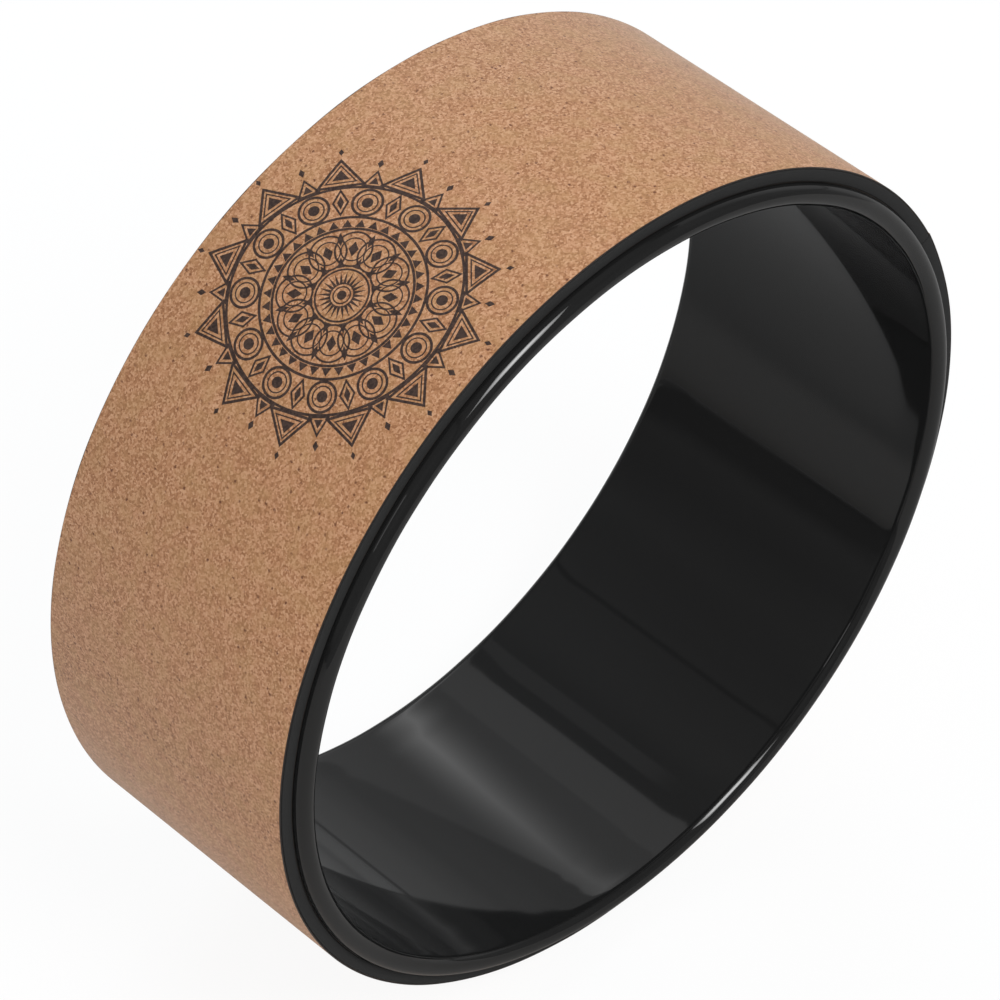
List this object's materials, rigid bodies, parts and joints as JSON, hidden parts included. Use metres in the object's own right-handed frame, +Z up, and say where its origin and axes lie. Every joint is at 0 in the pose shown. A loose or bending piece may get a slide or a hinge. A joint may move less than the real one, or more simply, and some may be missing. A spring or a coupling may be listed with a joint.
{
  "type": "yoga wheel",
  "caption": "Wide ring for back stretches and balance: a glossy black moulded hoop with rounded lips, wrapped in a thin foam band and a printed cork skin.",
  "frame": {"origin": "centre of the wheel, on its axis and halfway across its width", "axes": "+Y along the wheel's axis, +Z up with the wheel standing on its tread, +X to the right seen from the -Y side"},
  "size_m": [0.33, 0.127, 0.33],
  "materials": {
    "hoop_plastic": "gloss",
    "adhesive": "satin",
    "foam": "matte",
    "cork": "matte",
    "print_ink": "matte"
  },
  "bodies": {
    "root": {"hoop": "hoop_plastic", "hoop_bond_film": "adhesive", "foam_band": "foam", "cork_bond_film": "adhesive", "cork_skin": "cork"}
  },
  "joints": []
}
